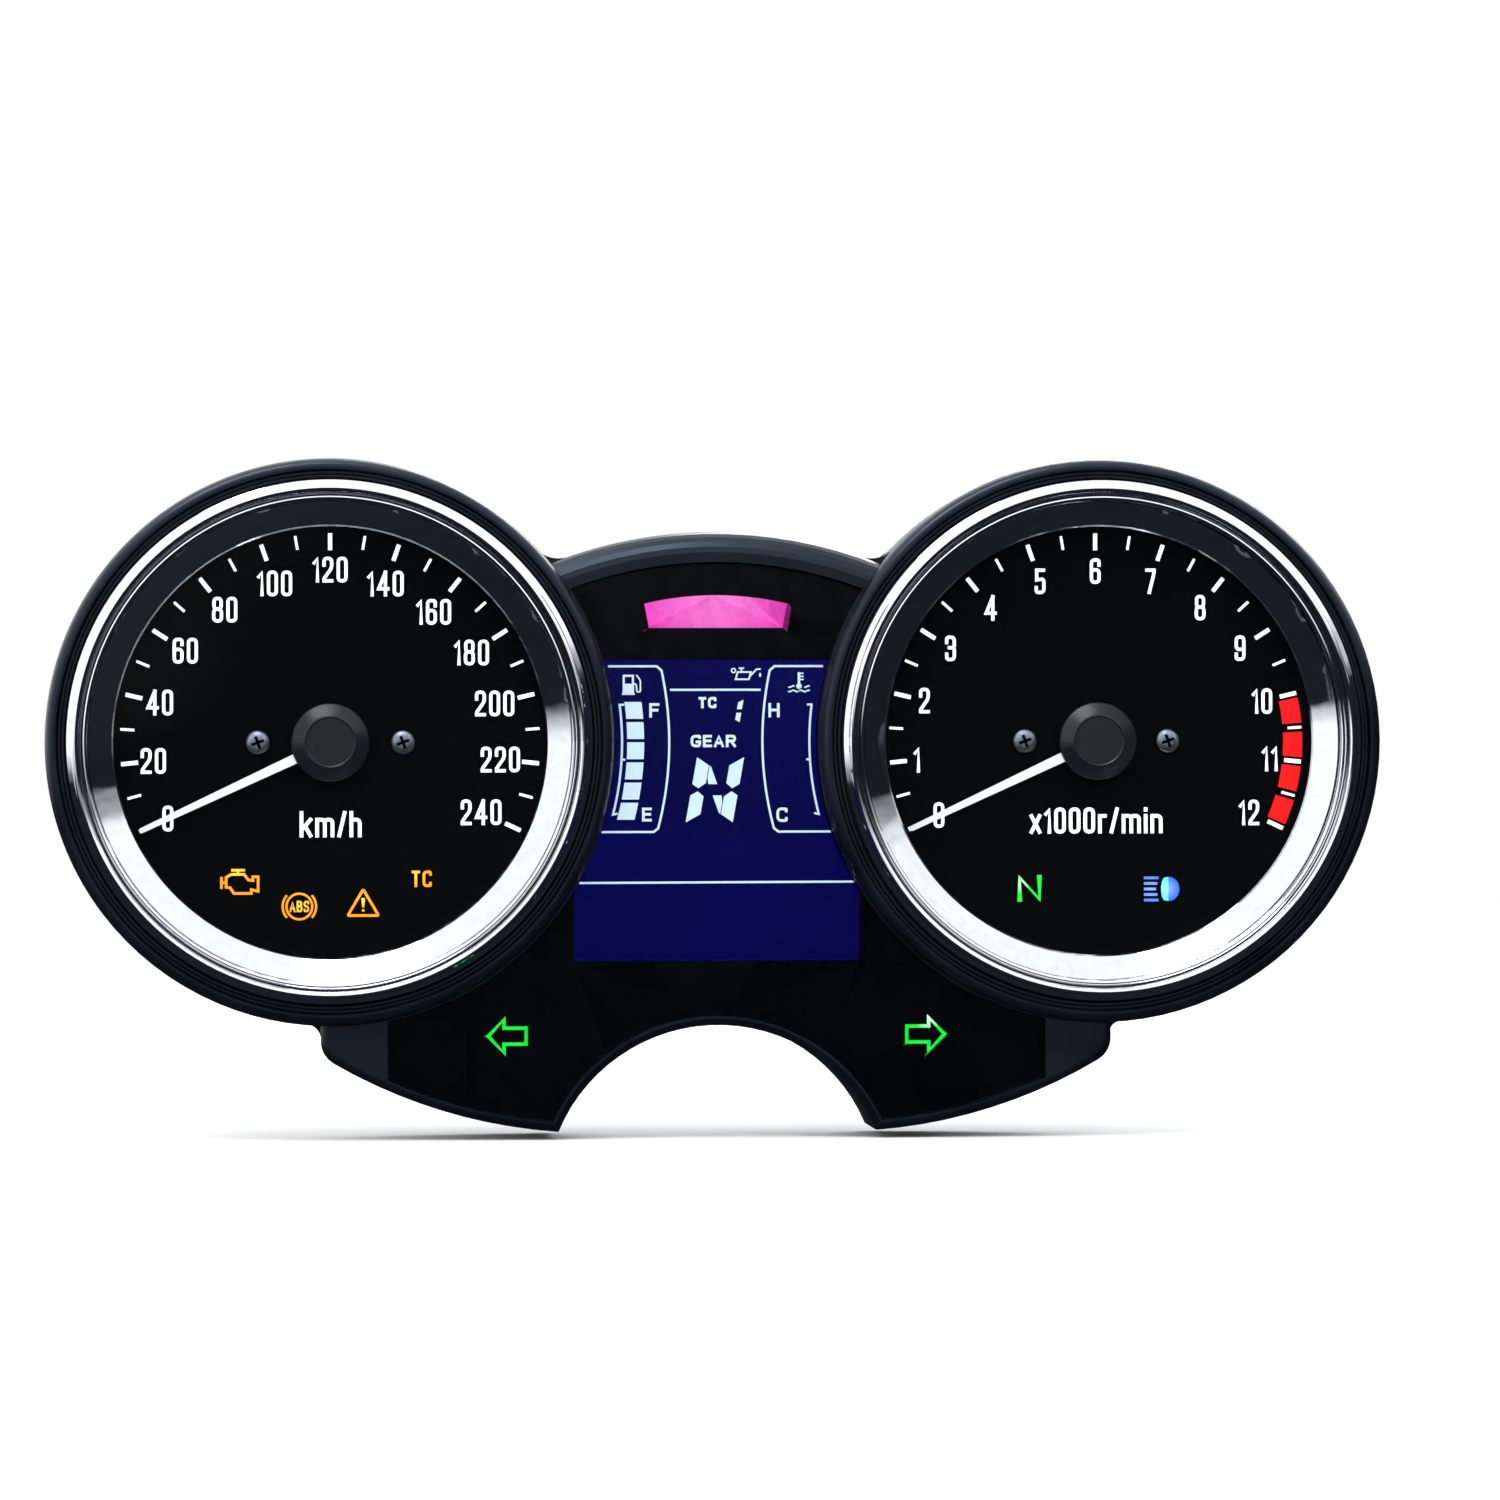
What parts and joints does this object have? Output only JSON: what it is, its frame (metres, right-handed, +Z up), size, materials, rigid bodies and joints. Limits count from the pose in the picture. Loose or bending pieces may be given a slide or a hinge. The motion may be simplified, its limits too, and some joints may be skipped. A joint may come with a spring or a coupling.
{
  "type": "motorcycle instrument cluster",
  "caption": "Twin-dial motorcycle instrument cluster with sweeping needles, centre LCD, warning lamps, chrome bezels and a sealed rear case on rubber mounts.",
  "frame": {"origin": "mouth of the upper rear mounting bore, level with the dial centres and midway between them, on the plane of the three mounting faces", "axes": "+X to the rider's right, +Y away from the rider out of the rear mounts, +Z up the dial faces"},
  "size_m": [0.26, 0.074, 0.1308],
  "materials": {
    "cover_plastic": "satin",
    "case_plastic": "moulded grain",
    "bezel_chrome": "polished",
    "reflector_chrome": "mirror plated",
    "clear_lens": "clear",
    "window_plastic": "gloss",
    "mask_black": "gloss",
    "seal_rubber": "matt",
    "warning_acrylic": "lit",
    "turn_acrylic": "lit",
    "dial_black": "printed matt",
    "dial_screw_black": "black zinc",
    "guide_acrylic": "clear",
    "lcd_glass": "gloss",
    "white_plastic": "satin",
    "contact_rubber": "matt",
    "board_green": "solder mask",
    "lamp_resin": "clear resin",
    "chip_black": "moulded",
    "screw_zinc": "zinc",
    "socket_plastic": "moulded",
    "pin_tin": "plated",
    "vent_plastic": "moulded",
    "grommet_rubber": "matt",
    "sleeve_steel": "zinc plated",
    "needle_white": "satin",
    "cap_black": "satin",
    "motor_plastic": "moulded",
    "stator_steel": "laminated",
    "coil_copper": "enamelled wire",
    "rotor_magnet": "moulded magnet",
    "gear_plastic": "moulded"
  },
  "bodies": {
    "housing": {"front_cover": "cover_plastic", "speedo_bezel": "bezel_chrome", "tacho_bezel": "bezel_chrome", "speedo_lens": "clear_lens", "tacho_lens": "clear_lens", "speedo_lens_seal": "seal_rubber", "tacho_lens_seal": "seal_rubber", "speedo_reflector": "reflector_chrome", "tacho_reflector": "reflector_chrome", "centre_window": "window_plastic", "centre_mask": "mask_black", "warning_light_pipe": "warning_acrylic", "turn_light_pipes": "turn_acrylic", "speedo_dial": "dial_black", "tacho_dial": "dial_black", "dial_screws": "dial_screw_black", "speedo_light_guide": "guide_acrylic", "tacho_light_guide": "guide_acrylic", "lcd_panel": "lcd_glass", "lcd_frame": "white_plastic", "lcd_backlight": "guide_acrylic", "lcd_contact_strips": "contact_rubber", "inner_frame": "white_plastic", "circuit_board": "board_green", "board_leds": "lamp_resin", "board_chips": "chip_black", "board_screws": "screw_zinc", "rear_case": "case_plastic", "case_seal": "seal_rubber", "case_screws": "screw_zinc", "socket_shell": "socket_plastic", "socket_pins": "pin_tin", "vent_plug": "vent_plastic", "mount_grommets": "grommet_rubber", "mount_sleeves": "sleeve_steel", "speedo_motor_case": "motor_plastic", "speedo_motor_lid": "motor_plastic", "speedo_motor_stator": "stator_steel", "speedo_motor_coils": "coil_copper", "tacho_motor_case": "motor_plastic", "tacho_motor_lid": "motor_plastic", "tacho_motor_stator": "stator_steel", "tacho_motor_coils": "coil_copper"},
    "speedo_pointer": {"speedo_needle": "needle_white", "speedo_needle_cap": "cap_black", "speedo_output_gear": "gear_plastic"},
    "speedo_idler": {"speedo_idler_gear": "gear_plastic"},
    "speedo_motor_rotor": {"speedo_rotor": "rotor_magnet"},
    "tacho_pointer": {"tacho_needle": "needle_white", "tacho_needle_cap": "cap_black", "tacho_output_gear": "gear_plastic"},
    "tacho_idler": {"tacho_idler_gear": "gear_plastic"},
    "tacho_motor_rotor": {"tacho_rotor": "rotor_magnet"}
  },
  "joints": [
    {"name": "speedo_pointer_sweep", "type": "hinge", "parent": "housing", "child": "speedo_pointer", "pos_m": [-0.075, -0.05, 0], "axis": [0, 1, 0], "range_deg": [0, 230]},
    {"name": "speedo_idler_spin", "type": "hinge", "parent": "housing", "child": "speedo_idler", "pos_m": [-0.075, -0.033, -0.0105], "axis": [0, 1, 0], "range_deg": [-1380, 0]},
    {"name": "speedo_rotor_spin", "type": "hinge", "parent": "housing", "child": "speedo_motor_rotor", "pos_m": [-0.06591, -0.03, -0.00525], "axis": [0, 1, 0], "range_deg": [0, 8280]},
    {"name": "tacho_pointer_sweep", "type": "hinge", "parent": "housing", "child": "tacho_pointer", "pos_m": [0.075, -0.05, 0], "axis": [0, 1, 0], "range_deg": [0, 230]},
    {"name": "tacho_idler_spin", "type": "hinge", "parent": "housing", "child": "tacho_idler", "pos_m": [0.075, -0.033, -0.0105], "axis": [0, 1, 0], "range_deg": [-1380, 0]},
    {"name": "tacho_rotor_spin", "type": "hinge", "parent": "housing", "child": "tacho_motor_rotor", "pos_m": [0.08409, -0.03, -0.00525], "axis": [0, 1, 0], "range_deg": [0, 8280]}
  ],
  "couplings": [
    {"joint": "speedo_idler_spin", "follows": "speedo_pointer_sweep", "ratio": -6},
    {"joint": "speedo_rotor_spin", "follows": "speedo_pointer_sweep", "ratio": 36},
    {"joint": "tacho_idler_spin", "follows": "tacho_pointer_sweep", "ratio": -6},
    {"joint": "tacho_rotor_spin", "follows": "tacho_pointer_sweep", "ratio": 36}
  ]
}
